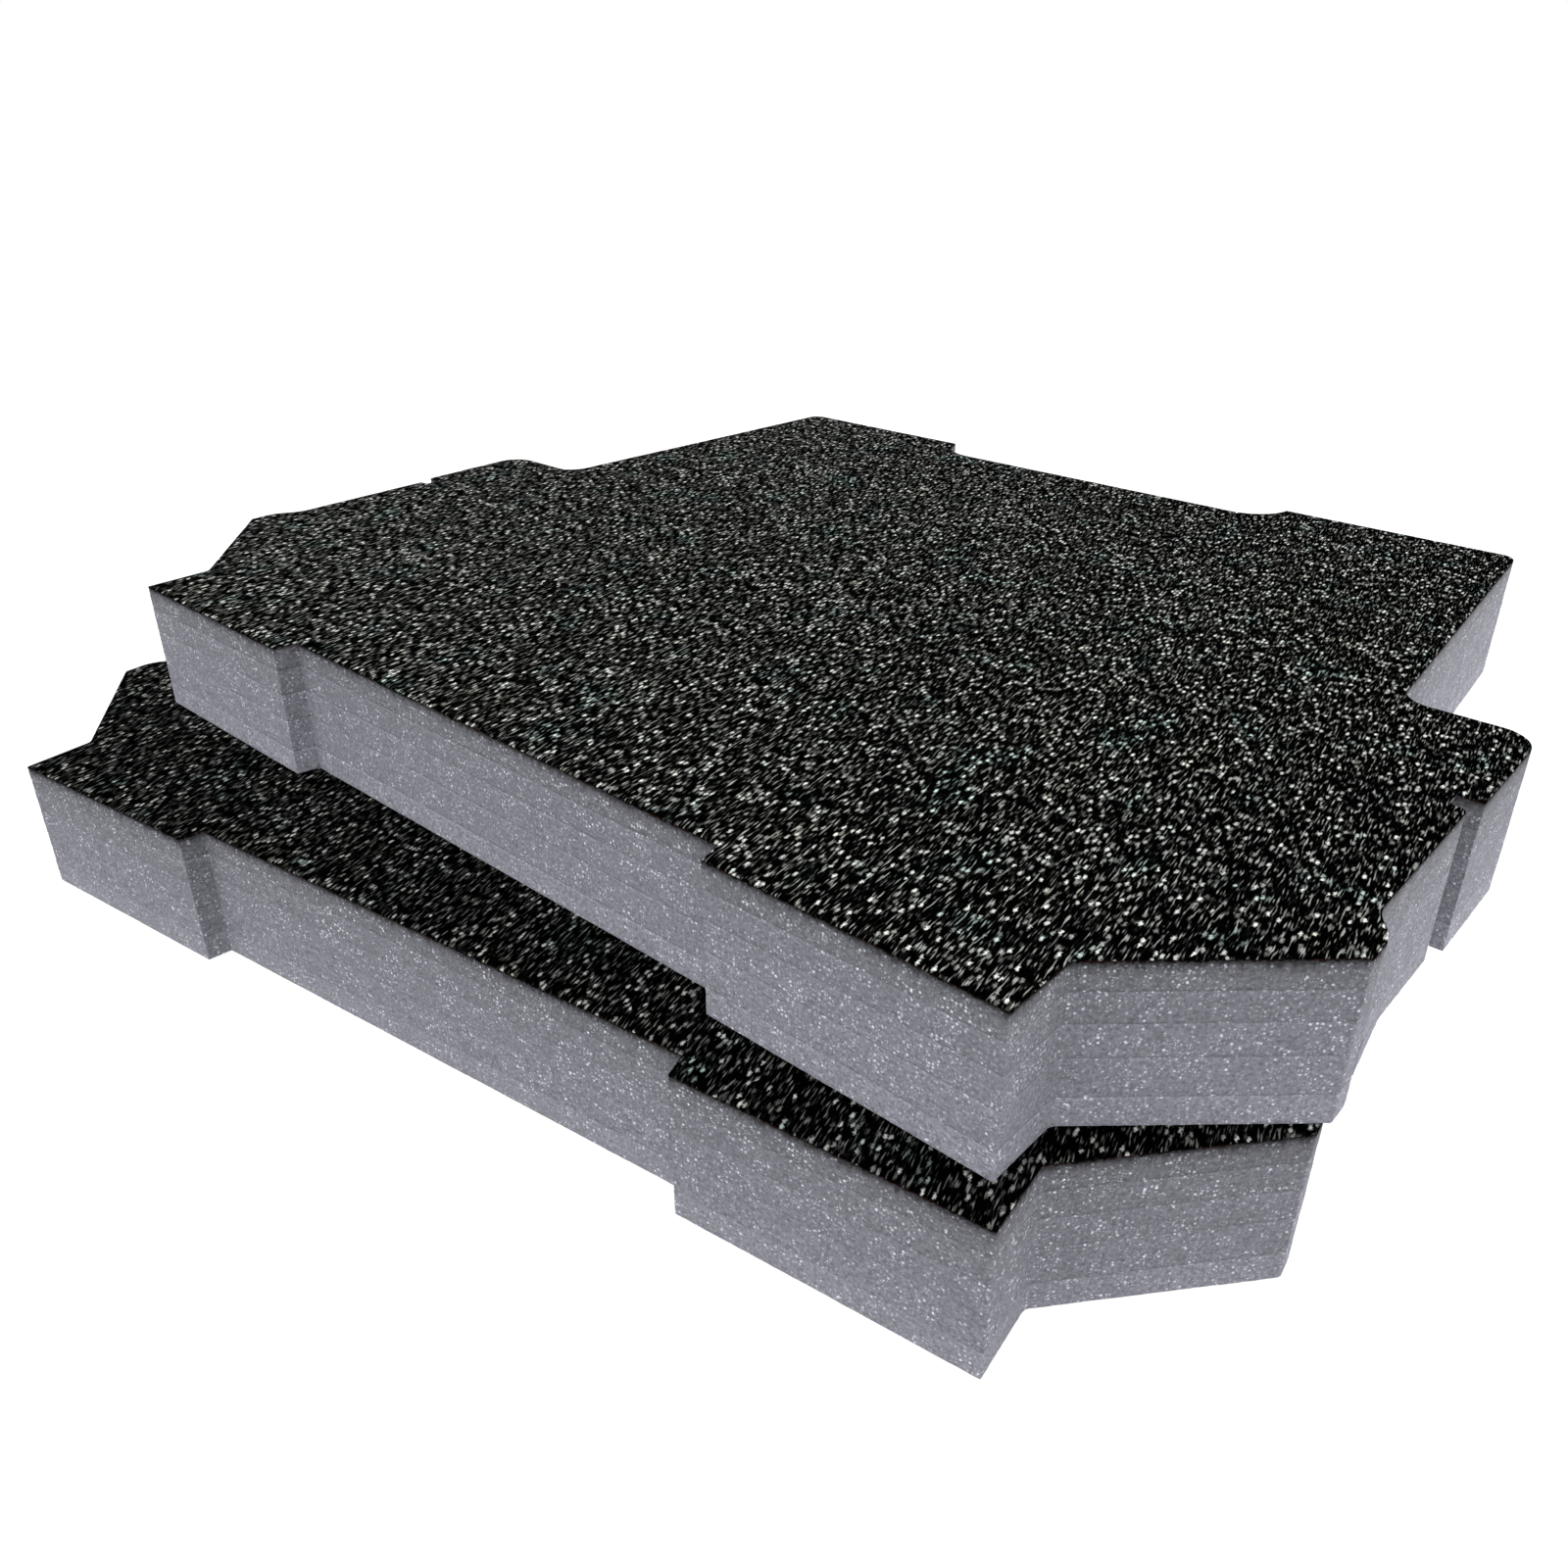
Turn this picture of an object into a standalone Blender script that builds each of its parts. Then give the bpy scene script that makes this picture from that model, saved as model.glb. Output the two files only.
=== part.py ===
"""Two loose foam insert mats, stacked, the upper one turned a little on the lower one.

Each mat is a plank of five foam plies with a thin flecked sheet on top, all cut to one
outline: a front recess, chamfered front corners, a tab on each side behind a narrow slot,
slanted rear sides and a back recess.  The outline is the same left and right.

Frame: metres, +Z up, front towards -Y.  The origin is the middle of the lower mat's
length and depth, on its underside.
"""
import bpy
from math import radians, tan
from mathutils import Vector

# Driving dimensions of one mat
HALF_WIDTH = 0.2489            # at the rear ends of the front chamfers, the widest place
DEPTH = 0.391                  # front edge to back edge
THICKNESS = 0.050
SHEET_THICKNESS = 0.0015       # the flecked top sheet
BOND_HEIGHTS = (0.0091, 0.0212, 0.0314, 0.0407)    # the four bond lines, from the underside
BOND_GAP = 0.0003              # clearance between two bonded layers

# Front recess and chamfered corners
FRONT_RECESS_HALF_MOUTH = 0.1048
FRONT_RECESS_HALF_FLOOR = 0.1031
FRONT_RECESS_DEPTH = 0.008
FRONT_CORNER_X = 0.198
CHEEK_DEPTH = 0.0247           # the short straight side behind each front corner
CHEEK_FILLET = 0.003
CHAMFER_END_Y = 0.0715
CHAMFER_END_FILLET = 0.0015

# Sides: a step inwards, a narrow slot and a tab
STEP_FRONT_Y = 0.0822
STEP_BACK_Y = 0.0918
STEP_FILLET = 0.014
SIDE_X = 0.2427
SLOT_FRONT_Y = 0.157
SLOT_BACK_Y = 0.1639
SLOT_FLOOR_X = 0.238
SLOT_FILLET = 0.0018
TAB_X = 0.2451
TAB_BACK_Y = 0.2178
TAB_FILLET = 0.0115

# Rear: slanted sides and the back recess
REAR_ROOT_X = 0.2032
REAR_ROOT_FILLET = 0.010
REAR_CORNER_X = 0.1893
REAR_CORNER_FILLET = 0.006
BACK_RECESS_HALF_MOUTH = 0.0915
BACK_RECESS_HALF_FLOOR = 0.0891
BACK_RECESS_DEPTH = 0.0171
BACK_RECESS_FILLET = 0.0193

# How the upper mat lies on the lower one
STACK_GAP = 0.0003
UPPER_SHIFT = (0.0203, 0.0365)
UPPER_TURN = radians(-7.5)

ARC_STEP = radians(15)         # each chord of a rounded corner spans about this

COLLECTION = "foam_insert_mats"


def clear_scene():
    """Remove every object that the file opened with."""
    for old in list(bpy.data.objects):
        bpy.data.objects.remove(old)


def half_corners():
    """The right half's corners, front to back, each as (x, y, fillet radius)."""
    return [
        (FRONT_RECESS_HALF_FLOOR, FRONT_RECESS_DEPTH, 0),
        (FRONT_RECESS_HALF_MOUTH, 0, 0),
        (FRONT_CORNER_X, 0, 0),
        (FRONT_CORNER_X, CHEEK_DEPTH, CHEEK_FILLET),
        (HALF_WIDTH, CHAMFER_END_Y, CHAMFER_END_FILLET),
        (HALF_WIDTH, STEP_FRONT_Y, STEP_FILLET),
        (SIDE_X, STEP_BACK_Y, STEP_FILLET),
        (SIDE_X, SLOT_FRONT_Y, SLOT_FILLET),
        (SLOT_FLOOR_X, SLOT_FRONT_Y, SLOT_FILLET),
        (SLOT_FLOOR_X, SLOT_BACK_Y, 0),
        (TAB_X, SLOT_BACK_Y, 0),
        (TAB_X, TAB_BACK_Y, TAB_FILLET),
        (REAR_ROOT_X, TAB_BACK_Y, REAR_ROOT_FILLET),
        (REAR_CORNER_X, DEPTH, REAR_CORNER_FILLET),
        (BACK_RECESS_HALF_MOUTH, DEPTH, 0),
        (BACK_RECESS_HALF_FLOOR, DEPTH - BACK_RECESS_DEPTH, BACK_RECESS_FILLET),
    ]


def fillet(before, corner, after, radius):
    """Points of the arc that rounds a corner, or the corner itself if it is sharp."""
    if radius == 0:
        return [corner]
    into = (corner - before).normalized()
    out = (after - corner).normalized()
    turn = into.angle(out)
    setback = radius * tan(turn / 2)
    start = corner - into * setback
    end = corner + out * setback
    centre = corner + (out - into).normalized() * (setback ** 2 + radius ** 2) ** 0.5
    steps = max(2, round(turn / ARC_STEP))
    first = (start - centre).normalized()
    last = (end - centre).normalized()
    return [centre + radius * first.slerp(last, step / steps) for step in range(steps + 1)]


def outline():
    """The whole outline, about the middle of the mat, as a closed ring of points."""
    right = [(Vector((x, y - DEPTH / 2)), radius) for x, y, radius in half_corners()]
    left = [(Vector((-point.x, point.y)), radius) for point, radius in reversed(right)]
    ring = right + left
    points = []
    for index, (corner, radius) in enumerate(ring):
        before = ring[index - 1][0]
        after = ring[(index + 1) % len(ring)][0]
        points += fillet(before, corner, after, radius)
    return points


def layers():
    """Each layer of a mat from the bottom up: its name, the height of its underside and top."""
    sheet_bottom = THICKNESS - SHEET_THICKNESS
    bottoms = (0, *(height + BOND_GAP / 2 for height in BOND_HEIGHTS))
    tops = (*(height - BOND_GAP / 2 for height in BOND_HEIGHTS), sheet_bottom - BOND_GAP)
    plies = [(f"ply_{number + 1}", *span) for number, span in enumerate(zip(bottoms, tops))]
    return plies + [("top_sheet", sheet_bottom, THICKNESS)]


def layer_curve(name, bottom, top):
    """A filled 2D curve of the outline, as thick as the layer."""
    curve = bpy.data.curves.new(name, "CURVE")
    curve.dimensions = "2D"
    curve.fill_mode = "BOTH"
    curve.extrude = (top - bottom) / 2
    points = outline()
    spline = curve.splines.new("POLY")
    spline.points.add(len(points) - 1)
    for target, point in zip(spline.points, points):
        target.co = (point.x, point.y, 0, 1)
    spline.use_cyclic_u = True
    return curve


def material(name, colour, roughness):
    """A plain Principled material."""
    made = bpy.data.materials.new(name)
    made.use_nodes = True
    shader = made.node_tree.nodes["Principled BSDF"]
    shader.inputs["Base Color"].default_value = (*colour, 1)
    shader.inputs["Roughness"].default_value = roughness
    shader.inputs["Metallic"].default_value = 0
    return made


def foam_material(name):
    """Blue-grey closed-cell foam with a matte cut face."""
    return material(name, (0.26, 0.26, 0.31), 0.9)


def fleck_material(name):
    """The black skin, before its light flecks."""
    return material(name, (0.02, 0.02, 0.02), 0.45)


def add_mat(mat_name, location, turn):
    """An empty in the middle of the mat's underside, with the mat's layers on it."""
    parts = bpy.data.collections[COLLECTION].objects
    mat_empty = bpy.data.objects.new(mat_name + "_mat", None)
    mat_empty.location = location
    mat_empty.rotation_euler.z = turn
    parts.link(mat_empty)

    for layer_name, bottom, top in layers():
        name = f"{mat_name}_{layer_name}"
        curve = layer_curve(name, bottom, top)
        is_sheet = layer_name == "top_sheet"
        curve.materials.append(fleck_material(name) if is_sheet else foam_material(name))
        layer = bpy.data.objects.new(name, curve)
        layer.parent = mat_empty
        layer.location.z = (bottom + top) / 2
        parts.link(layer)


def main():
    clear_scene()
    bpy.context.scene.collection.children.link(bpy.data.collections.new(COLLECTION))
    add_mat("lower", (0, 0, 0), 0)
    add_mat("upper", (*UPPER_SHIFT, THICKNESS + STACK_GAP), UPPER_TURN)


main()
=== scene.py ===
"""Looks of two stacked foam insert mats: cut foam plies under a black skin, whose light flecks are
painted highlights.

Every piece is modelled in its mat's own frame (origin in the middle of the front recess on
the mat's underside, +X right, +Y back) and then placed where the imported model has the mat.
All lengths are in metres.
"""

from math import atan2, cos, pi, radians, sin, tan

import bpy
import numpy as np
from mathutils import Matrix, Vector, noise
from mathutils.geometry import delaunay_2d_cdt


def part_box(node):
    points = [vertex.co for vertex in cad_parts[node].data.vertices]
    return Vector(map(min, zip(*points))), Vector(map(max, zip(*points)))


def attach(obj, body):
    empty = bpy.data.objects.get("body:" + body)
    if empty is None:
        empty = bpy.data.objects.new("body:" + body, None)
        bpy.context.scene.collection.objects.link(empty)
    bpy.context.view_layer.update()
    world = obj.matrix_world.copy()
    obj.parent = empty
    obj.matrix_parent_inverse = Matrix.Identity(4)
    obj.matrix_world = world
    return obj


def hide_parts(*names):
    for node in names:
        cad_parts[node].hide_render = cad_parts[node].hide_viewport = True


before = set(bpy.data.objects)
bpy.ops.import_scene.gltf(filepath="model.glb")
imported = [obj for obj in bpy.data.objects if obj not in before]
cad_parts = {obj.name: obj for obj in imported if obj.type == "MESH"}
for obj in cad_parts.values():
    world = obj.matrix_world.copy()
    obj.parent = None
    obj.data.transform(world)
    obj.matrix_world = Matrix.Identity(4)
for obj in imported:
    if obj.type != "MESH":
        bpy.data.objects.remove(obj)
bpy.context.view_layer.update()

MATS = ("lower", "upper")
PLIES = 5

# Cut foam walls
WALL_STEP = 0.00085            # between points along a wall and up it
KNIFE_WAVE = 0.00010           # how far the knife wandered
WAVE_SCALE = 60                # of its noise, per metre, as all noise scales here are
KNIFE_CHATTER = 0.00006        # upright marks that the blade left
CHATTER_SCALE = 420
CHATTER_SQUEEZE = 0.06         # of their heights, which draws them out up the wall
CELL_RELIEF = 0.00008          # torn cells on the cut face
CELL_SCALE = 520
GROOVE_DEPTH = 0.00018         # the notch along a bond line
GROOVE_HEIGHT = 0.0002

# The skin
SKIN_STEP = (0.00115, 0.0019)  # between its points, across the mat and front to back
EDGE_GAP = 0.6                 # the least gap from its rim to these points, in steps across
RIM = 0.0005                   # radius of its rounded edge
RIM_ANGLES = (35, 65, 90)      # where the rounded edge has points, in degrees from the top
HIGHLIGHT_FLECKED_BANDS = 2              # the rim's bands of faces that show the painted highlight flecks as the top does
SKIN_RELIEF = 0.00016          # height of its streaky pebbles
MEAN_DEPTH = 0.5               # of its surface, as a share of that
EDGE_DROOP = 0.00015           # how far the knife pulled its edge down
SKIN_NOTCH = 0.0004            # height of the notch under its edge

# Its streaks and pebbles: noise scale across the mat, front to back, seed and share
SKIN_NOISES = ((330, 150, 0, 0.35), (120, 70, 5, 0.25))

# An outline vertex inside a rounded corner turns by this much, in degrees
ARC_TURN = (12, 20)

LEVEL = 0.5                    # a face is level if its normal's height is beyond this
CORNER_DIGITS = 6              # a CAD corner's place is rounded to a micrometre
SAME_HEIGHT = 1e-5             # heights that differ by less are the same
MERGE_DISTANCE = 1e-7          # points nearer than this are one when the top is filled
FILL_INSIDE = 1                # the fill that keeps only faces inside the border
SHARP_ANGLE = 50               # degrees between faces, above which an edge is sharp

PLACE_IN_MAT = "place_in_mat"  # mesh attribute that the materials' patterns follow


# ---------------------------------------------------------------- outlines

def top_loop(node):
    """The corners of a CAD layer's outline, anticlockwise, as rows of x and y."""
    mesh = node.data
    height = max(vertex.co.z for vertex in mesh.vertices)
    after = {}
    for polygon in mesh.polygons:
        if abs(polygon.normal.z) > LEVEL:
            continue
        for first, second in polygon.edge_keys:
            ends = [mesh.vertices[first].co, mesh.vertices[second].co]
            if min(end.z for end in ends) < height - SAME_HEIGHT:
                continue
            start, stop = [tuple(round(value, CORNER_DIGITS) for value in end.xy) for end in ends]
            along = Vector(stop) - Vector(start)
            if along.x * polygon.normal.y - along.y * polygon.normal.x > 0:
                start, stop = stop, start
            after[start] = stop
    first = min(after)
    loop = [first]
    while after[loop[-1]] != first:
        loop.append(after[loop[-1]])
    return np.array(loop)


def mat_place(loop):
    """The middle of a mat's longest straight edge, which is its front recess, and its turn."""
    runs = np.roll(loop, -1, axis=0) - loop
    longest = int(np.argmax(np.hypot(*runs.T)))
    middle = loop[longest] + runs[longest] / 2
    return middle, atan2(runs[longest][1], runs[longest][0])


def turned(points, angle):
    """Points turned about the origin."""
    spin = np.array([[cos(angle), -sin(angle)], [sin(angle), cos(angle)]])
    return points @ spin.T


def corner_turns(loop):
    """The signed turn at each corner of a loop, in radians."""
    runs = np.roll(loop, -1, axis=0) - loop
    headings = np.arctan2(runs[:, 1], runs[:, 0])
    return (headings - np.roll(headings, 1) + pi) % (2 * pi) - pi


def run_points(start, stop, turn, step):
    """Points from start up to stop, evenly spaced, on a straight line or an arc of that turn."""
    chord = stop - start
    count = max(1, round(float(np.hypot(*chord)) / step))
    if turn == 0:
        return [start + chord * part / count for part in range(count)]
    left = np.array([-chord[1], chord[0]])
    centre = (start + stop) / 2 + left / 2 / tan(turn / 2)
    return [centre + turned(start - centre, turn * part / count) for part in range(count)]


def fine_loop(loop, step):
    """The loop with points every step, and its rounded corners truly round."""
    turns = corner_turns(loop)
    low, high = (radians(angle) for angle in ARC_TURN)
    points = []
    for index, start in enumerate(loop):
        after = (index + 1) % len(loop)
        inner = [t for t in (turns[index], turns[after]) if low < abs(t) < high]
        points += run_points(start, loop[after], inner[0] if inner else 0, step)
    return np.array(points)


def outward(loop):
    """The outward direction at each point, longer at sharp corners so that walls stay parallel."""
    runs = np.roll(loop, -1, axis=0) - loop
    runs /= np.hypot(*runs.T)[:, None]
    normals = np.column_stack([runs[:, 1], -runs[:, 0]])
    before = np.roll(normals, 1, axis=0)
    mitre = normals + before
    return mitre / (mitre * normals).sum(axis=1)[:, None]


def inside(points, loop, margin):
    """Which points are inside a loop and further than margin from it."""
    within = np.zeros(len(points), bool)
    nearest = np.full(len(points), np.inf)
    for start, stop in zip(loop, np.roll(loop, -1, axis=0)):
        chord = stop - start
        crosses = (start[1] > points[:, 1]) != (stop[1] > points[:, 1])
        if chord[1] != 0:
            at_x = start[0] + (points[:, 1] - start[1]) * chord[0] / chord[1]
            within ^= crosses & (points[:, 0] < at_x)
        share = ((points - start) @ chord / (chord @ chord)).clip(0, 1)
        gap = points - start - share[:, None] * chord
        nearest = np.minimum(nearest, np.hypot(*gap.T))
    return within & (nearest > margin)


# ---------------------------------------------------------------- meshes

def make_piece(name, points, faces, materials, face_materials, place, turn):
    """A smooth-shaded mesh at its mat's place, with its points' places in the mat kept."""
    mesh = bpy.data.meshes.new(name)
    flat = turned(points[:, :2], turn)
    moved = np.column_stack([flat, points[:, 2]]) + np.array(place)
    mesh.from_pydata(moved.tolist(), [], faces)
    kept = mesh.attributes.new(PLACE_IN_MAT, "FLOAT_VECTOR", "POINT")
    kept.data.foreach_set("vector", points.ravel())
    for material in materials:
        mesh.materials.append(material)
    mesh.polygons.foreach_set("material_index", face_materials)
    mesh.shade_smooth()
    mesh.set_sharp_from_angle(angle=radians(SHARP_ANGLE))
    mesh.update()
    piece = bpy.data.objects.new(name, mesh)
    bpy.context.scene.collection.objects.link(piece)
    return piece


def band_faces(lower_start, upper_start, count):
    """Quads between two rings of count points."""
    return [
        (
            lower_start + index,
            lower_start + (index + 1) % count,
            upper_start + (index + 1) % count,
            upper_start + index,
        )
        for index in range(count)
    ]


def cut_relief(x, y, z):
    """How far the cut face stands out at a point: a slow wave, upright chatter and torn cells."""
    wave = noise.noise(Vector((x, y, z)) * WAVE_SCALE)
    chatter = noise.noise(Vector((x, y, z * CHATTER_SQUEEZE)) * CHATTER_SCALE)
    cells = noise.noise(Vector((x, y, z)) * CELL_SCALE)
    return KNIFE_WAVE * wave + KNIFE_CHATTER * chatter + CELL_RELIEF * cells


def ply_heights(bottom, top, notch_bottom, notch_top):
    """Heights of a ply's rings and how far each is drawn in, from the underside up."""
    rows = max(2, round((top - bottom - 2 * GROOVE_HEIGHT) / WALL_STEP))
    between = np.linspace(bottom + GROOVE_HEIGHT, top - GROOVE_HEIGHT, rows + 1)
    heights = [bottom, *between, top]
    insets = [notch_bottom, *(0 for _ in between), notch_top]
    return heights, insets


def ply_mesh(loop, seed, bottom, top, notch_bottom, notch_top):
    """Points and faces of one ply: a cut wall with a notch at each bond, and flat ends."""
    out = outward(loop)
    heights, insets = ply_heights(bottom, top, notch_bottom, notch_top)
    rings = []
    for height, inset in zip(heights, insets):
        relief = np.array([cut_relief(x, y, height + seed) for x, y in loop])
        ring = loop + out * (relief - inset)[:, None]
        rings.append(np.column_stack([ring, np.full(len(loop), height)]))
    count = len(loop)
    faces = [tuple(reversed(range(count)))]
    for row in range(len(rings) - 1):
        faces += band_faces(row * count, (row + 1) * count, count)
    last = (len(rings) - 1) * count
    faces.append(tuple(range(last, last + count)))
    return np.concatenate(rings), faces


def skin_relief(x, y, seed):
    """How deep the skin's surface lies at a point, in streaky pebbles that run front to back."""
    depth = MEAN_DEPTH
    for across, along, shift, share in SKIN_NOISES:
        depth -= share * noise.noise(Vector((x * across, y * along, seed + shift)))
    return SKIN_RELIEF * depth


def skin_grid(loop):
    """Staggered points that fill the loop, clear of its edge."""
    across, along = SKIN_STEP
    low, high = loop.min(axis=0), loop.max(axis=0)
    rows = []
    for index, y in enumerate(np.arange(low[1], high[1], along)):
        xs = np.arange(low[0] + across / 2 * (index % 2), high[0], across)
        rows.append(np.column_stack([xs, np.full(len(xs), y)]))
    points = np.concatenate(rows)
    return points[inside(points, loop, EDGE_GAP * across)]


def skin_mesh(corners, loop, seed, bottom, top):
    """A skin's points, faces and each face's material: 0 for the top with its painted highlight
    flecks, 1 for the edge.
    """
    out = outward(loop)
    count = len(loop)
    ring = loop - out * RIM
    field = skin_grid(corners - outward(corners) * RIM)
    flat = [Vector(point) for point in np.concatenate([ring, field])]
    border = [(index, (index + 1) % count) for index in range(count)]
    found, _, top_faces, *_ = delaunay_2d_cdt(flat, border, [], FILL_INSIDE, MERGE_DISTANCE)
    depth = np.array([skin_relief(point.x, point.y, seed) for point in found])
    depth[:count] += EDGE_DROOP
    points = np.column_stack([np.array(found), top - depth])
    rings = []
    for angle in map(radians, RIM_ANGLES):
        edge = ring + out * RIM * sin(angle)
        height = points[:count, 2] - RIM * (1 - cos(angle))
        rings.append(np.column_stack([edge, height]))
    wall = loop + out * np.array([cut_relief(x, y, seed) for x, y in loop])[:, None]
    rings.append(np.column_stack([wall, np.full(count, bottom + SKIN_NOTCH)]))
    rings.append(np.column_stack([loop - out * GROOVE_DEPTH, np.full(count, bottom)]))
    faces = [tuple(face) for face in top_faces]
    start = 0
    follow = len(points)
    for _ in rings:
        faces += band_faces(follow, start, count)
        start, follow = follow, follow + count
    faces.append(tuple(reversed(range(start, start + count))))
    kinds = np.ones(len(faces), int)
    kinds[:len(top_faces) + HIGHLIGHT_FLECKED_BANDS * count] = 0
    return np.concatenate([points, *rings]), faces, kinds


# ---------------------------------------------------------------- node helpers

# A colour Mix node's sockets: the factor and the two colours, and the result
COLOUR_MIX_INPUTS = (0, 6, 7)
COLOUR_MIX_OUTPUT = 2

PIECE_SHIFT = 7.0              # the most that a piece's pattern is shifted, in metres


def add_node(tree, kind, sources=None, **settings):
    """A new node, with its settings, and its inputs set or linked."""
    made = tree.nodes.new(kind)
    for name, value in settings.items():
        setattr(made, name, value)
    for key, source in (sources or {}).items():
        if isinstance(source, bpy.types.NodeSocket):
            tree.links.new(source, made.inputs[key])
        else:
            made.inputs[key].default_value = source
    return made


def maths(tree, operation, *values):
    """The result of a Math node."""
    made = add_node(tree, "ShaderNodeMath", dict(enumerate(values)), operation=operation)
    return made.outputs["Value"]


def vector_maths(tree, operation, first, second):
    """The result of a Vector Math node."""
    sources = {0: first, 1: second}
    return add_node(tree, "ShaderNodeVectorMath", sources, operation=operation).outputs["Vector"]


def remap(tree, value, low, high, to_low=0.0, to_high=1.0, smooth=True):
    """Value mapped from low..high to to_low..to_high, and held at the ends."""
    sources = {
        "Value": value,
        "From Min": low,
        "From Max": high,
        "To Min": to_low,
        "To Max": to_high,
    }
    kind = "SMOOTHSTEP" if smooth else "LINEAR"
    return add_node(tree, "ShaderNodeMapRange", sources, interpolation_type=kind).outputs["Result"]


def mixed(tree, factor, first, second):
    """Two colours mixed."""
    sources = dict(zip(COLOUR_MIX_INPUTS, (factor, first, second)))
    made = add_node(tree, "ShaderNodeMix", sources, data_type="RGBA")
    return made.outputs[COLOUR_MIX_OUTPUT]


def scaled(tree, colour, factor):
    """A colour times a number."""
    made = add_node(tree, "ShaderNodeVectorMath", {0: colour, "Scale": factor}, operation="SCALE")
    return made.outputs["Vector"]


def squeezed(tree, vector, scale):
    """Coordinates times a scale for each axis. A small scale draws a pattern out."""
    return add_node(tree, "ShaderNodeMapping", {"Vector": vector, "Scale": scale}).outputs["Vector"]


def noise_node(tree, vector, scale, detail=2.0, dimensions="3D"):
    """A Noise Texture."""
    sources = {"Vector": vector, "Scale": scale, "Detail": detail}
    return add_node(tree, "ShaderNodeTexNoise", sources, noise_dimensions=dimensions)


def cells_node(tree, vector, scale, dimensions="3D"):
    """A Voronoi Texture: the distance to the nearest seed and that seed's random colour."""
    sources = {"Vector": vector, "Scale": scale}
    return add_node(tree, "ShaderNodeTexVoronoi", sources, voronoi_dimensions=dimensions)


def own_coordinates(tree):
    """Places in the mat, as they are and shifted by an amount that differs from piece to piece."""
    place = add_node(tree, "ShaderNodeAttribute", attribute_name=PLACE_IN_MAT).outputs["Vector"]
    luck = add_node(tree, "ShaderNodeObjectInfo").outputs["Random"]
    shift = maths(tree, "MULTIPLY", luck, PIECE_SHIFT)
    return place, vector_maths(tree, "ADD", place, shift)


def luck_of(tree, cells):
    """The random number, from 0 to 1, of the seed that each place of a Voronoi Texture is on."""
    colour = cells.outputs["Color"]
    return add_node(tree, "ShaderNodeSeparateColor", {"Color": colour}).outputs["Red"]


def height_of(tree, place):
    """The height of a place."""
    return add_node(tree, "ShaderNodeSeparateXYZ", {"Vector": place}).outputs["Z"]


def swing(tree, pattern, amount):
    """A pattern's value from 0 to 1 turned into minus to plus half the amount."""
    return maths(tree, "MULTIPLY_ADD", pattern, amount, -amount / 2)


def new_material(name):
    """A material with its node tree and its Principled shader."""
    made = bpy.data.materials.new(name)
    made.use_nodes = True
    return made, made.node_tree, made.node_tree.nodes["Principled BSDF"]


def finish_material(tree, shader, colour, roughness, height, distance):
    """Link the colour, the roughness and a bump of that height to the shader."""
    bump = add_node(tree, "ShaderNodeBump", {"Height": height, "Distance": distance})
    tree.links.new(colour, shader.inputs["Base Color"])
    tree.links.new(roughness, shader.inputs["Roughness"])
    tree.links.new(bump.outputs["Normal"], shader.inputs["Normal"])


# ---------------------------------------------------------------- materials

FOAM_COLOUR = (0.171, 0.171, 0.199)
FRINGED_COLOUR = (0.171, 0.173, 0.195)         # of the top ply, which has caught some of the skin
# the pale colour of the cut cells' painted glints
SPARKLE_COLOUR = (0.74, 0.76, 0.84, 1)
# Painted light and shade: the plies grow lighter downwards, as bounce from the floor would light
# them; the lowest is lightest, which offsets the shade under the upper mat
PLY_LIGHT_TONES = (1.17, 1.01, 0.955, 0.86, 0.71)    # from the lowest ply up
# Painted shade: the lower mat's foam is darker, evening out the lamps that light its faces more
# squarely than the turned upper mat's
MAT_SHADE_TONES = {"lower": 0.93, "upper": 1.0}
FOAM_ROUGHNESS = (0.88, 0.5)                   # of plain foam and of a glinting cut cell
FOAM_SPECULAR = 0.25
FOAM_BUMP = 0.00025

FRINGE_TONE = 0.46                             # of the foam right under the skin
FRINGE = (0.0440, 0.0490)                      # heights in the mat between which it darkens
FRINGE_SMEAR = 0.0045                          # how much the knife's marks draw the fringe down
FUZZ_TONE = 0.35                               # of the darkest band, right below the skin
FUZZ = (0.0474, 0.0487)                        # heights in the mat between which that band darkens
FUZZ_RAGGED = 0.0030                           # how uneven that band's lower edge is

# The foam's grey patterns: scale, squeeze of each axis, detail, and how much each changes it
FOAM_PATTERNS = (
    ("grain", 1000, (1, 1, 1), 3, 1.5),
    ("mottle", 450, (1, 1, 1.8), 1, 0.5),
    ("knife_marks", 700, (1, 1, 0.12), 2, 0.24),
    ("layers", 330, (0.1, 0.1, 1), 1, 0.10),
    ("clouds", 70, (1, 1, 1), 2, 0.16),
)

# Its cut cells' glints, painted into its colour as pale spots: scale, reach, the luck that a cell
# needs, and brightness
CELL_GLINTS = ((800, 0.42, 0.35, 1.06), (1500, 0.50, 0.30, 0.47), (420, 0.25, 0.60, 1.20))
GLINT_CORE = 0.35                              # their full brightness's share of their reach
GLINT_RELIEF = 0.6                             # their height, where the foam's grain has 1
GLINT_GLOSSY = 0.6                             # brightness from which they are fully glossy
CLUSTER_SCALE = 160                            # of the noise that gathers them in clusters
CLUSTER_LIMITS = (0.39, 0.61)                  # values of that noise outside and in a cluster
BETWEEN_CLUSTERS = 0.25                        # their brightness outside a cluster


def sparkles(tree, vector, scale, reach, rare):
    """Painted glints of cut cells: round pale spots on the pattern's luckier seeds, each as bright
    as its luck.
    """
    cells = cells_node(tree, vector, scale)
    chosen = remap(tree, luck_of(tree, cells), rare, 1.0, smooth=False)
    spot = remap(tree, cells.outputs["Distance"], reach, reach * GLINT_CORE)
    return maths(tree, "MULTIPLY", spot, chosen)


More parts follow.
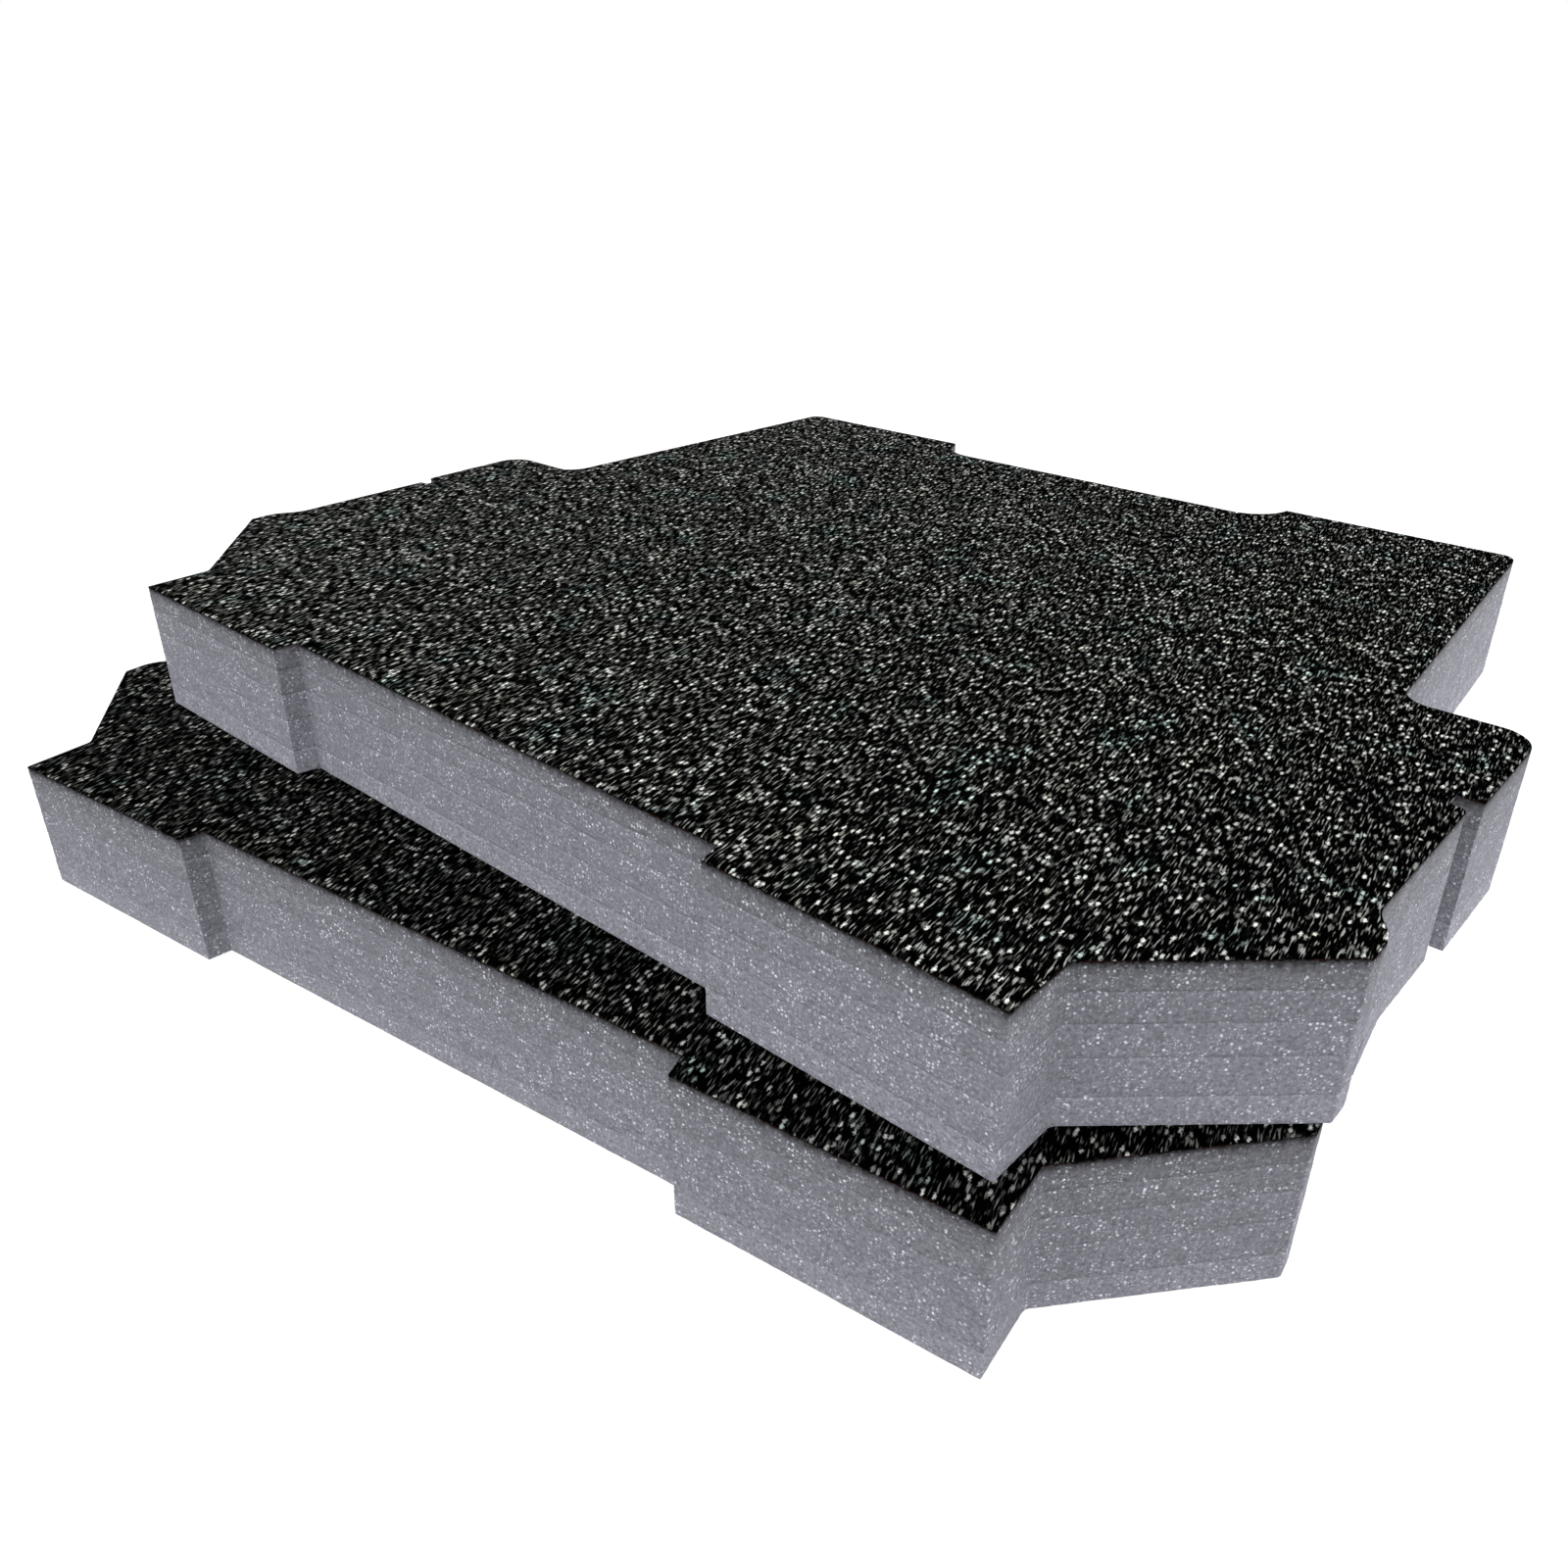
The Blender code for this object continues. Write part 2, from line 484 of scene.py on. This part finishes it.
def fringe_shade(tree, height, marks, grain):
    """What the foam's colour is multiplied by under the skin: less than 1 near it, smeared with
    the knife's marks, and least in the fuzz right below it."""
    height = maths(tree, "ADD", height, swing(tree, marks, FRINGE_SMEAR))
    ragged = maths(tree, "ADD", height, swing(tree, grain, FUZZ_RAGGED))
    fringe = remap(tree, height, *FRINGE, 1.0, FRINGE_TONE)
    fuzz = remap(tree, ragged, *FUZZ, 1.0, FUZZ_TONE)
    return maths(tree, "MULTIPLY", fringe, fuzz)


def cell_glint_shine(tree, vector):
    """How bright the cut cells' painted glints are, from 0 where there is only foam."""
    shine = 0.0
    for scale, reach, rare, strength in CELL_GLINTS:
        bright = maths(tree, "MULTIPLY", sparkles(tree, vector, scale, reach, rare), strength)
        shine = maths(tree, "MAXIMUM", shine, bright)
    noise_value = noise_node(tree, vector, CLUSTER_SCALE).outputs["Fac"]
    clusters = remap(tree, noise_value, *CLUSTER_LIMITS, BETWEEN_CLUSTERS, 1.0)
    return maths(tree, "MULTIPLY", shine, clusters)


def foam_material(name, lit_tone, fringed=False):
    """Matte closed-cell foam, cut with a knife. fringed is for the ply right under the skin."""
    made, tree, shader = new_material(name)
    place, vector = own_coordinates(tree)
    level = 1.0
    patterns = {}
    for label, scale, squeeze, detail, amount in FOAM_PATTERNS:
        pattern = noise_node(tree, squeezed(tree, vector, squeeze), scale, detail).outputs["Fac"]
        patterns[label] = pattern
        level = maths(tree, "ADD", level, swing(tree, pattern, amount))
    # Painted light and shade: the ply's and the mat's tone scale the foam's colour
    level = maths(tree, "MULTIPLY", level, lit_tone)
    shine = cell_glint_shine(tree, vector)
    foam_colour = FRINGED_COLOUR if fringed else FOAM_COLOUR
    # Painted glints: the foam's colour turns pale where the cut cells glint
    colour = mixed(tree, shine, scaled(tree, foam_colour, level), SPARKLE_COLOUR)
    if fringed:
        height = height_of(tree, place)
        shade = fringe_shade(tree, height, patterns["knife_marks"], patterns["grain"])
        colour = scaled(tree, colour, shade)
    roughness = remap(tree, shine, 0.0, GLINT_GLOSSY, *FOAM_ROUGHNESS)
    shader.inputs["Specular IOR Level"].default_value = FOAM_SPECULAR
    relief = maths(tree, "ADD", patterns["grain"], maths(tree, "MULTIPLY", shine, GLINT_RELIEF))
    finish_material(tree, shader, colour, roughness, relief, FOAM_BUMP)
    return made


# The skin's grey strokes and pale chips are painted highlights of its pebbled surface, put into its
# colour
GROUND = (0.0003, 0.0004, 0.0003, 1)
FLECK_HIGHLIGHT = (0.62, 0.64, 0.60, 1)
TEAL_FLECK_HIGHLIGHT = (0.50, 0.62, 0.57, 1)
WARM_FLECK_HIGHLIGHT = (0.62, 0.63, 0.56, 1)
HUE_SCALE = 45                 # of the noise that spreads these colours
TEAL_LIMITS = (0.58, 0.72)     # values of that noise where teal sets in and is full
WARM_LIMITS = (0.42, 0.28)     # and the same for the warm highlight
SHADED_SKIN_TONES = {"lower": (0.52, 0.75), "upper": (0.90, 1.02)}    # of the strokes and the chips; the lower mat's are darker, painted shade from the upper mat above it
GRAIN_TILT = 9                 # degrees, anticlockwise from the mat's front-to-back line
SKIN_ROUGHNESS = (0.62, 0.42)  # of the black ground and of the palest painted highlight
SKIN_SPECULAR = 0.0
SKIN_BUMP = 0.0002

# Noise of the strokes and of their clumps: squeeze along the grain, scale and detail
STROKE_NOISE = (0.13, 1850, 0.5)
CLUMP_NOISE = (0.34, 700, 1)
STROKE_LIMITS = (0.53, 0.74)   # values of the stroke noise at a stroke's rim and in its core
CLUMP_LIMITS = (0.38, 0.68)    # values of the clump noise between clumps and in one
BETWEEN_CLUMPS = 0.03          # the strokes' brightness there
CLUMP_POWER = 1.3              # makes the middling clumps darker
STROKE_SWAY = (450, 0.00015)   # scale and width of the noise that pushes the strokes about
STROKE_GAIN = 0.45

CHIP_SQUEEZE = 0.46            # along the grain
CHIP_SCALE = 700
CHIP_REACH = (0.48, 0.12)      # distances from a seed of a chip's rim and of its core
CHIP_LUCK = 0.75               # that a seed needs to be a chip
CHIP_POWER = 1.3               # makes the middling chips darker
CHIP_SWAY = (1300, 0.0010)     # scale and width of the noise that pushes the chips about
CHIP_GAIN = 1.10
SWAY_DETAIL = 1


def swayed(tree, vector, scale, amount):
    """Coordinates pushed about by noise, by up to half the amount."""
    push = noise_node(tree, vector, scale, SWAY_DETAIL, "2D").outputs["Color"]
    push = vector_maths(tree, "SUBTRACT", push, (0.5, 0.5, 0.5))
    return vector_maths(tree, "ADD", vector, scaled(tree, push, amount))


def brushed(tree, vector, squeeze):
    """Coordinates squeezed along the skin's grain, so that a pattern comes out as strokes."""
    sources = {
        "Vector": vector,
        "Rotation": (0, 0, radians(GRAIN_TILT)),
        "Scale": (1, 1 / squeeze, 1),
    }
    return add_node(tree, "ShaderNodeMapping", sources, vector_type="TEXTURE").outputs["Vector"]


def brushed_noise(tree, vector, squeeze, scale, detail):
    """Noise drawn out along the skin's grain."""
    return noise_node(tree, brushed(tree, vector, squeeze), scale, detail, "2D").outputs["Fac"]


def strokes(tree, vector):
    """Thin strokes along the grain, in loose clumps."""
    fine = remap(tree, brushed_noise(tree, vector, *STROKE_NOISE), *STROKE_LIMITS)
    coarse = brushed_noise(tree, vector, *CLUMP_NOISE)
    clumps = remap(tree, coarse, *CLUMP_LIMITS, BETWEEN_CLUMPS, 1.0)
    return maths(tree, "MULTIPLY", fine, maths(tree, "POWER", clumps, CLUMP_POWER))


def chips(tree, vector):
    """Compact light chips, each as bright as its luck."""
    cells = cells_node(tree, brushed(tree, vector, CHIP_SQUEEZE), CHIP_SCALE, "2D")
    chosen = remap(tree, luck_of(tree, cells), CHIP_LUCK, 1.0, smooth=False)
    chosen = maths(tree, "POWER", chosen, CHIP_POWER)
    return maths(tree, "MULTIPLY", remap(tree, cells.outputs["Distance"], *CHIP_REACH), chosen)


def skin_material(name, stroke_shade, chip_shade):
    """Black foam skin, crowded with grey strokes and pale chips that are painted highlights of its
    pebbles.
    """
    made, tree, shader = new_material(name)
    _, vector = own_coordinates(tree)
    grey = strokes(tree, swayed(tree, vector, *STROKE_SWAY))
    # The two tones dim the lower mat's strokes and chips: painted shade from the upper mat above it
    grey = maths(tree, "MULTIPLY", grey, STROKE_GAIN * stroke_shade)
    pale = chips(tree, swayed(tree, vector, *CHIP_SWAY))
    pale = maths(tree, "MULTIPLY", pale, CHIP_GAIN * chip_shade)
    light = maths(tree, "MAXIMUM", grey, pale)
    hue = noise_node(tree, vector, HUE_SCALE, dimensions="2D").outputs["Fac"]
    tint = mixed(tree, remap(tree, hue, *TEAL_LIMITS), FLECK_HIGHLIGHT, TEAL_FLECK_HIGHLIGHT)
    tint = mixed(tree, remap(tree, hue, *WARM_LIMITS), tint, WARM_FLECK_HIGHLIGHT)
    # Painted highlights: the black ground turns to pale tints where the strokes and chips lie
    colour = mixed(tree, light, GROUND, tint)
    roughness = remap(tree, light, 0.0, 1.0, *SKIN_ROUGHNESS)
    shader.inputs["Specular IOR Level"].default_value = SKIN_SPECULAR
    finish_material(tree, shader, colour, roughness, light, SKIN_BUMP)
    return made


EDGE_BLACK = (0.0015, 0.0014, 0.0014, 1)
EDGE_BROWN = (0.012, 0.0045, 0.004, 1)
EDGE_GREY = (0.055, 0.055, 0.060, 1)
BROWN_SCALE = 130              # of the noise that spreads the brown
BROWN_LIMITS = (0.40, 0.62)    # values of that noise where brown sets in and is full
EDGE_FADE = (0.0494, 0.0484)   # heights in the mat between which the skin's edge turns to grey
EDGE_RAGGED = 0.0020           # how unevenly it turns
EDGE_GRAIN = (900, 3)          # its scale and detail
EDGE_GRAIN_LIMITS = (0.3, 0.7)
EDGE_ROUGHNESS = (0.8, 0.95)   # where the grain has those values


def skin_edge_material(name):
    """The skin's cut edge and underside: black with a brown cast, greyer towards the foam."""
    made, tree, shader = new_material(name)
    place, vector = own_coordinates(tree)
    grain = noise_node(tree, vector, *EDGE_GRAIN).outputs["Fac"]
    brown = noise_node(tree, vector, BROWN_SCALE).outputs["Fac"]
    dark = mixed(tree, remap(tree, brown, *BROWN_LIMITS), EDGE_BLACK, EDGE_BROWN)
    height = maths(tree, "ADD", height_of(tree, place), swing(tree, grain, EDGE_RAGGED))
    colour = mixed(tree, remap(tree, height, *EDGE_FADE), dark, EDGE_GREY)
    roughness = remap(tree, grain, *EDGE_GRAIN_LIMITS, *EDGE_ROUGHNESS)
    shader.inputs["Specular IOR Level"].default_value = SKIN_SPECULAR
    finish_material(tree, shader, colour, roughness, grain, SKIN_BUMP)
    return made


# ---------------------------------------------------------------- the mats

MAT_SEED = 3.7                 # how far apart the two mats' relief noises are
SKIN_SEED = 9                  # from a mat's seed to its skin's


def layer_span(mat, layer):
    """The heights of a CAD layer's underside and top."""
    low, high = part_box(f"{mat}_{layer}")
    return low.z, high.z


def bond_heights(mat):
    """Heights where a mat's layers meet, from its underside to its top."""
    names = [f"ply_{number}" for number in range(1, PLIES + 1)] + ["top_sheet"]
    spans = [layer_span(mat, name) for name in names]
    meets = [(below[1] + above[0]) / 2 for below, above in zip(spans, spans[1:])]
    return [spans[0][0], *meets, spans[-1][1]]


def dress_mat(mat, foams, skin, skin_edge):
    """Replace a mat's CAD layers with detailed ones."""
    corners = top_loop(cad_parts[f"{mat}_top_sheet"])
    place, turn = mat_place(corners)
    corners = turned(corners - place, -turn)
    loop = fine_loop(corners, WALL_STEP)
    heights = bond_heights(mat)
    place = (*place, heights[0])
    heights = [height - heights[0] for height in heights]
    seed = MATS.index(mat) * MAT_SEED
    for number in range(1, PLIES + 1):
        bottom, top = heights[number - 1], heights[number]
        notch_bottom = GROOVE_DEPTH if number > 1 else GROOVE_DEPTH / 2
        points, faces = ply_mesh(loop, seed + number, bottom, top, notch_bottom, GROOVE_DEPTH)
        kinds = np.zeros(len(faces), int)
        name = f"{mat}_foam_ply_{number}"
        ply = make_piece(name, points, faces, [foams[number - 1]], kinds, place, turn)
        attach(ply, f"{mat}_mat")
        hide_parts(f"{mat}_ply_{number}")
    points, faces, kinds = skin_mesh(corners, loop, seed + SKIN_SEED, *heights[-2:])
    name = f"{mat}_flecked_sheet"
    sheet = make_piece(name, points, faces, [skin, skin_edge], kinds, place, turn)
    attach(sheet, f"{mat}_mat")
    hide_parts(f"{mat}_top_sheet")


# ---------------------------------------------------------------- stage, light, camera

SURROUND_FILL = 0.30           # how strongly the surround lights the mats
FLOOR_SIZE = 12
FLOOR_DROP = 0.0002            # from the mats' underside to the floor
FLOOR_GREY = (0.3, 0.3, 0.3, 1)
FLOOR_ROUGHNESS = 0.9
FLOOR_GLOW = 0.82
WHITE = (1, 1, 1, 1)

CAMERA_PLACE = (0.2772, -0.3963, 0.2776)
CAMERA_AZIMUTH = 34.16         # degrees, anticlockwise from looking straight back
CAMERA_DOWN = 28.52            # degrees below level
CAMERA_LENS = 30.31            # focal length and sensor width, in millimetres
CAMERA_SENSOR = 36
CAMERA_CLIP = 0.01

LAMP_ANGLE = 50                # how wide each lamp looks, in degrees
# Each lamp's name, azimuth, elevation and strength
LAMPS = (
    ("left_front_light", -120, 22, 1.38),
    ("right_front_light", -60, 22, 2.32),
    ("side_light", 50, 22, 4.25),
    ("rear_light", 165, 25, 2.8),
)


def make_floor():
    """A plain white floor that glows, as a lit product table does, with only faint shadows."""
    bpy.ops.mesh.primitive_plane_add(size=FLOOR_SIZE, location=(0, 0, -FLOOR_DROP))
    floor = bpy.context.object
    floor.name = "floor"
    floor.visible_diffuse = False
    made, _, shader = new_material("floor_white")
    shader.inputs["Base Color"].default_value = FLOOR_GREY
    shader.inputs["Roughness"].default_value = FLOOR_ROUGHNESS
    shader.inputs["Specular IOR Level"].default_value = 0.0
    shader.inputs["Emission Color"].default_value = WHITE
    shader.inputs["Emission Strength"].default_value = FLOOR_GLOW
    floor.data.materials.append(made)


def make_surround():
    """A white surround, which lights the mats less than it shows."""
    world = bpy.data.worlds.new("white_surround")
    world.use_nodes = True
    tree = world.node_tree
    shown = tree.nodes["Background"]
    shown.inputs["Color"].default_value = WHITE
    shown.inputs["Strength"].default_value = 1.0
    fill = add_node(tree, "ShaderNodeBackground", {"Color": WHITE, "Strength": SURROUND_FILL})
    scattered = add_node(tree, "ShaderNodeLightPath").outputs["Is Diffuse Ray"]
    sources = {0: scattered, 1: shown.outputs[0], 2: fill.outputs[0]}
    mix = add_node(tree, "ShaderNodeMixShader", sources)
    tree.links.new(mix.outputs[0], tree.nodes["World Output"].inputs["Surface"])
    bpy.context.scene.world = world


def make_lamp(name, azimuth, elevation, strength):
    """A broad soft lamp at an azimuth, anticlockwise from the right, and an elevation."""
    light = bpy.data.lights.new(name, "SUN")
    light.energy = strength
    light.angle = radians(LAMP_ANGLE)
    lamp = bpy.data.objects.new(name, light)
    lamp.rotation_euler = (radians(90 - elevation), 0, radians(azimuth + 90))
    bpy.context.scene.collection.objects.link(lamp)


def make_camera():
    """A camera at the front right, looking down on the mats."""
    camera = bpy.data.cameras.new("camera")
    camera.sensor_width = CAMERA_SENSOR
    camera.lens = CAMERA_LENS
    camera.clip_start = CAMERA_CLIP
    holder = bpy.data.objects.new("camera", camera)
    holder.location = CAMERA_PLACE
    holder.rotation_euler = (radians(90 - CAMERA_DOWN), 0, radians(CAMERA_AZIMUTH))
    bpy.context.scene.collection.objects.link(holder)
    bpy.context.scene.camera = holder


def main():
    bpy.context.scene.view_settings.view_transform = "Standard"
    make_camera()
    make_surround()
    for lamp in LAMPS:
        make_lamp(*lamp)
    make_floor()
    skin_edge = skin_edge_material("skin_edge")
    for mat in MATS:
        foams = [
            foam_material(f"{mat}_foam_{number}", MAT_SHADE_TONES[mat] * lit_tone, fringed=number == PLIES)
            for number, lit_tone in enumerate(PLY_LIGHT_TONES, start=1)
        ]
        skin = skin_material(f"{mat}_highlight_flecked_skin", *SHADED_SKIN_TONES[mat])
        dress_mat(mat, foams, skin, skin_edge)


main()
